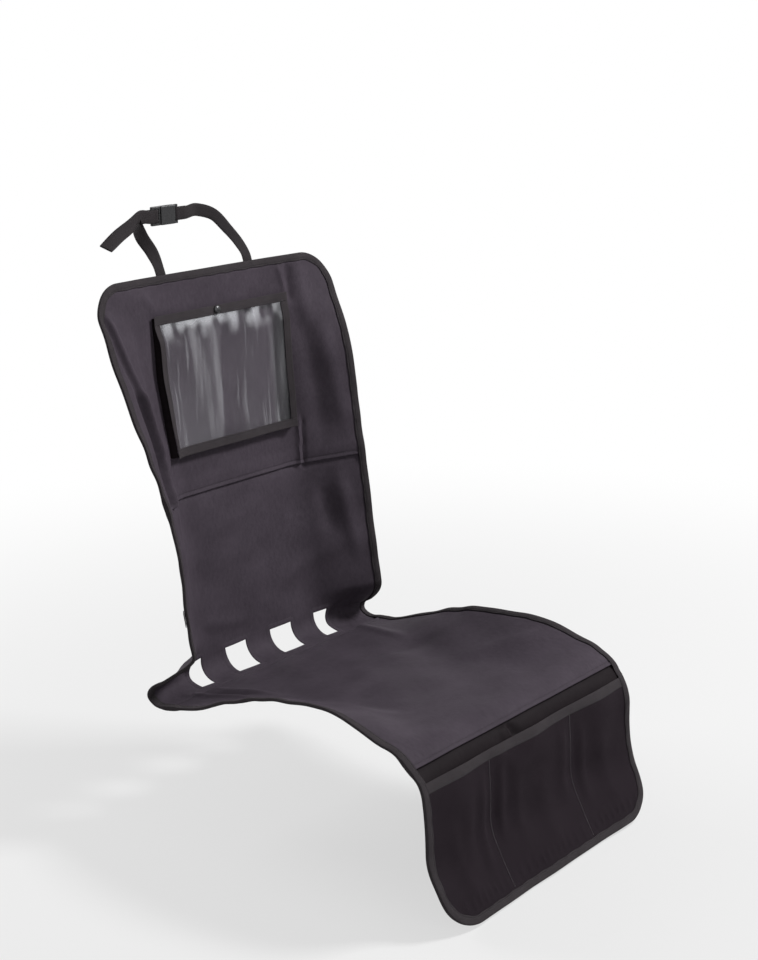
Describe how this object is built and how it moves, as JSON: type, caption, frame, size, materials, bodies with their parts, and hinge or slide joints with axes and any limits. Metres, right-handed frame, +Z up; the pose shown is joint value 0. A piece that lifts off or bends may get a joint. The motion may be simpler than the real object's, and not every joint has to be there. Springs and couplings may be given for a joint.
{
  "type": "car seat protector",
  "caption": "Padded cloth cover for a car's rear seat, with a clear tablet pocket on its back, belt openings at its crease, mesh pockets on its front flap and buckled headrest straps.",
  "frame": {"origin": "middle of the seat panel, on its underside, which slopes up by 5.4 degrees towards its front", "axes": "+Z up, -Y out of the cloth's front towards the front of the seat, +X across the width, to the right of someone who faces the cover"},
  "size_m": [0.5026, 0.7324, 0.892],
  "materials": {
    "panel cloth": "fine woven charcoal cloth with a faint purple cast, over thin padding",
    "apron cloth": "dark woven cloth behind the mesh pockets",
    "mesh cloth": "fine knitted mesh",
    "binding tape": "ribbed woven tape, folded over the edge and stitched",
    "webbing": "woven webbing with a slight sheen",
    "clear film": "clear glossy film",
    "snap metal": "glossy dark enamel",
    "buckle plastic": "moulded black plastic, satin"
  },
  "bodies": {
    "root": {"upper_back_panel": "panel cloth", "lower_back_panel": "panel cloth", "seat_panel": "panel cloth", "apron_panel": "apron cloth", "back_binding": "binding tape", "seat_binding": "binding tape", "tablet_window": "clear film", "pocket_top_band": "binding tape", "pocket_bottom_band": "binding tape", "pocket_left_band": "binding tape", "pocket_right_band": "binding tape", "pocket_gusset": "apron cloth", "snap_cap": "snap metal", "snap_socket": "snap metal", "snap_stud": "snap metal", "snap_post": "snap metal", "apron_pocket_mesh": "mesh cloth", "apron_pocket_hem": "binding tape", "left_strap": "webbing", "right_strap": "webbing", "buckle_socket": "buckle plastic", "buckle_plug": "buckle plastic", "side_tab": "binding tape"}
  },
  "joints": []
}
